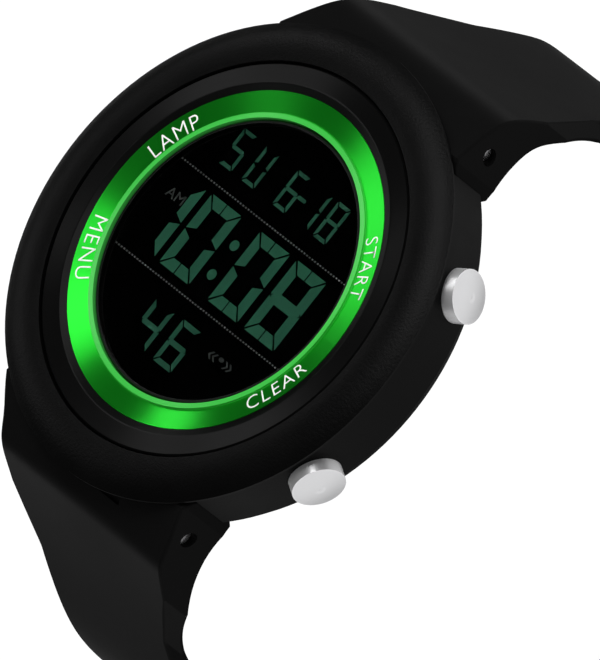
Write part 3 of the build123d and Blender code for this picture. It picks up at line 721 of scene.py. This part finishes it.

# Button springs, each copied from its CAD piece into a piece of the scene's own on the case, with the CAD
# piece hidden
springLook = {"travel": 0.7 * mm, "buttons": ["start", "light", "mode", "reset"]}
for name in springLook["buttons"]:
    wireName = "button_" + name + "_spring"
    wire = nodes[wireName]
    bm = bmesh.new()
    bm.from_mesh(wire.data)
    bmesh.ops.transform(bm, matrix=wire.matrix_world, verts=bm.verts)
    low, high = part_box(wireName)
    x, y, z = buttonLook["axis"]
    outward = Vector((x if low[0] > 0 else -x, y if low[1] > 0 else -y, z)).normalized()
    along = [vert.co.dot(outward) for vert in bm.verts]
    seat = outward * min(along)
    seat.z = (low[2] + high[2]) / 2
    spring = newPiece(name + "Spring", bm, wire.data.materials[0])
    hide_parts(wireName)
    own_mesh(spring)
print("springs made")


# Floor: white to the camera, dull to light, and seen in gloss as a card in front and a ring around
floorLook = {
    "height": -80.5 * mm, "radius": 1500.0 * mm, "sides": 96, "colour": (0.15, 0.15, 0.15), "rough": 0.8,
    "glow": 0.9, "card": (45.0 * mm, 95.0 * mm), "cardSide": (-30.0 * mm, 30.0 * mm),
    "ringInner": (170.0 * mm, 220.0 * mm), "ringOuter": (300.0 * mm, 380.0 * mm),
}
white = (1.0, 1.0, 1.0, 1.0)
bm = bmesh.new()
bmesh.ops.create_circle(bm, cap_ends=True, radius=floorLook["radius"], segments=floorLook["sides"])
bmesh.ops.translate(bm, verts=bm.verts, vec=(0, 0, floorLook["height"]))
mesh = bpy.data.meshes.new("floor")
bm.to_mesh(mesh)
bm.free()
floor = bpy.data.objects.new("floor", mesh)
bpy.context.scene.collection.objects.link(floor)
material, tree, surface = newMaterial(
    "floorWhite", Base_Color=opaque(floorLook["colour"]), Roughness=floorLook["rough"],
    Specular_IOR_Level=0.0, Emission_Color=white)
ray = addNode(tree, "ShaderNodeLightPath").outputs
inFront = mapped(tree, apartNode(tree, objectPlace(tree))["X"], 0.0, 1.0, *floorLook["cardSide"])
card = mathNode(tree, "MULTIPLY", radialBand(tree, floorLook["card"]), inFront)
ring = mathNode(tree, "SUBTRACT", radialBand(tree, floorLook["ringInner"]),
                radialBand(tree, floorLook["ringOuter"]))
inGloss = mathNode(tree, "MULTIPLY", ray["Is Glossy Ray"], mathNode(tree, "MAXIMUM", card, ring))
seen = mathNode(tree, "MAXIMUM", ray["Is Camera Ray"], ray["Is Transmission Ray"])
shining = mathNode(tree, "MAXIMUM", seen, inGloss)
plug(tree, mathNode(tree, "MULTIPLY", shining, floorLook["glow"]), surface["Emission Strength"])
below = addNode(tree, "ShaderNodeNewGeometry").outputs["Backfacing"]
clear = addNode(tree, "ShaderNodeBsdfTransparent").outputs[0]
sides = mixShader(tree, below, tree.nodes["Principled BSDF"].outputs[0], clear)
plug(tree, sides, tree.nodes["Material Output"].inputs[0])
mesh.materials.append(material)

# World: an even sky for light, and for gloss white walls that darken upwards and towards -X
worldLook = {
    "sky": 0.7, "ceiling": 0.01, "ceilingFrom": (0.05, 0.3), "darkWall": 0.05, "wallFrom": (-0.2, 0.3),
}
world = bpy.data.worlds.new("studio")
bpy.context.scene.world = world
world.use_nodes = True
tree = world.node_tree
sky = tree.nodes["Background"]
room = addNode(tree, "ShaderNodeBackground")
plugAll(tree, (white, worldLook["sky"]), sky.inputs)
parts = apartNode(tree, addNode(tree, "ShaderNodeTexCoord").outputs["Generated"])
ceiling = mapped(tree, parts["Z"], 1.0, worldLook["ceiling"], *worldLook["ceilingFrom"], smooth=True)
walls = mapped(tree, parts["X"], worldLook["darkWall"], 1.0, *worldLook["wallFrom"], smooth=True)
ray = addNode(tree, "ShaderNodeLightPath").outputs
shade = mathNode(tree, "MULTIPLY", ceiling, walls)
plugAll(tree, (white, mathNode(tree, "MAXIMUM", shade, ray["Is Camera Ray"])), room.inputs)
seen = mathNode(tree, "MAXIMUM", ray["Is Camera Ray"], ray["Is Transmission Ray"])
seen = mathNode(tree, "MAXIMUM", seen, ray["Is Glossy Ray"])
skies = mixShader(tree, seen, sky.outputs[0], room.outputs[0])
plug(tree, skies, tree.nodes["World Output"].inputs[0])

lamps = {
    "keyLamp": {"toward": (-0.24, 0.48, 0.845), "distance": 0.5, "size": 0.26, "power": 0.9},
    "lowLamp": {"toward": (-0.85, -0.19, 0.49), "distance": 0.5, "size": 0.20, "power": 0.22},
    "slimLamp": {"toward": (-0.82, 0.32, 0.48), "distance": 0.5, "size": 0.08, "power": 0.18},
    "flankLamp": {"toward": (0.14, 0.28, 0.95), "distance": 0.5, "size": 0.16, "power": 0.6},
}
for name, look in lamps.items():
    data = bpy.data.lights.new(name, "AREA")
    data.shape = "DISK"
    data.size = look["size"]
    data.energy = look["power"]
    lamp = bpy.data.objects.new(name, data)
    bpy.context.scene.collection.objects.link(lamp)
    toward = Vector(look["toward"]).normalized()
    lamp.location = toward * look["distance"]
    lamp.rotation_mode = "QUATERNION"
    lamp.rotation_quaternion = toward.to_track_quat("Z", "Y")
print("stage and lamps made")
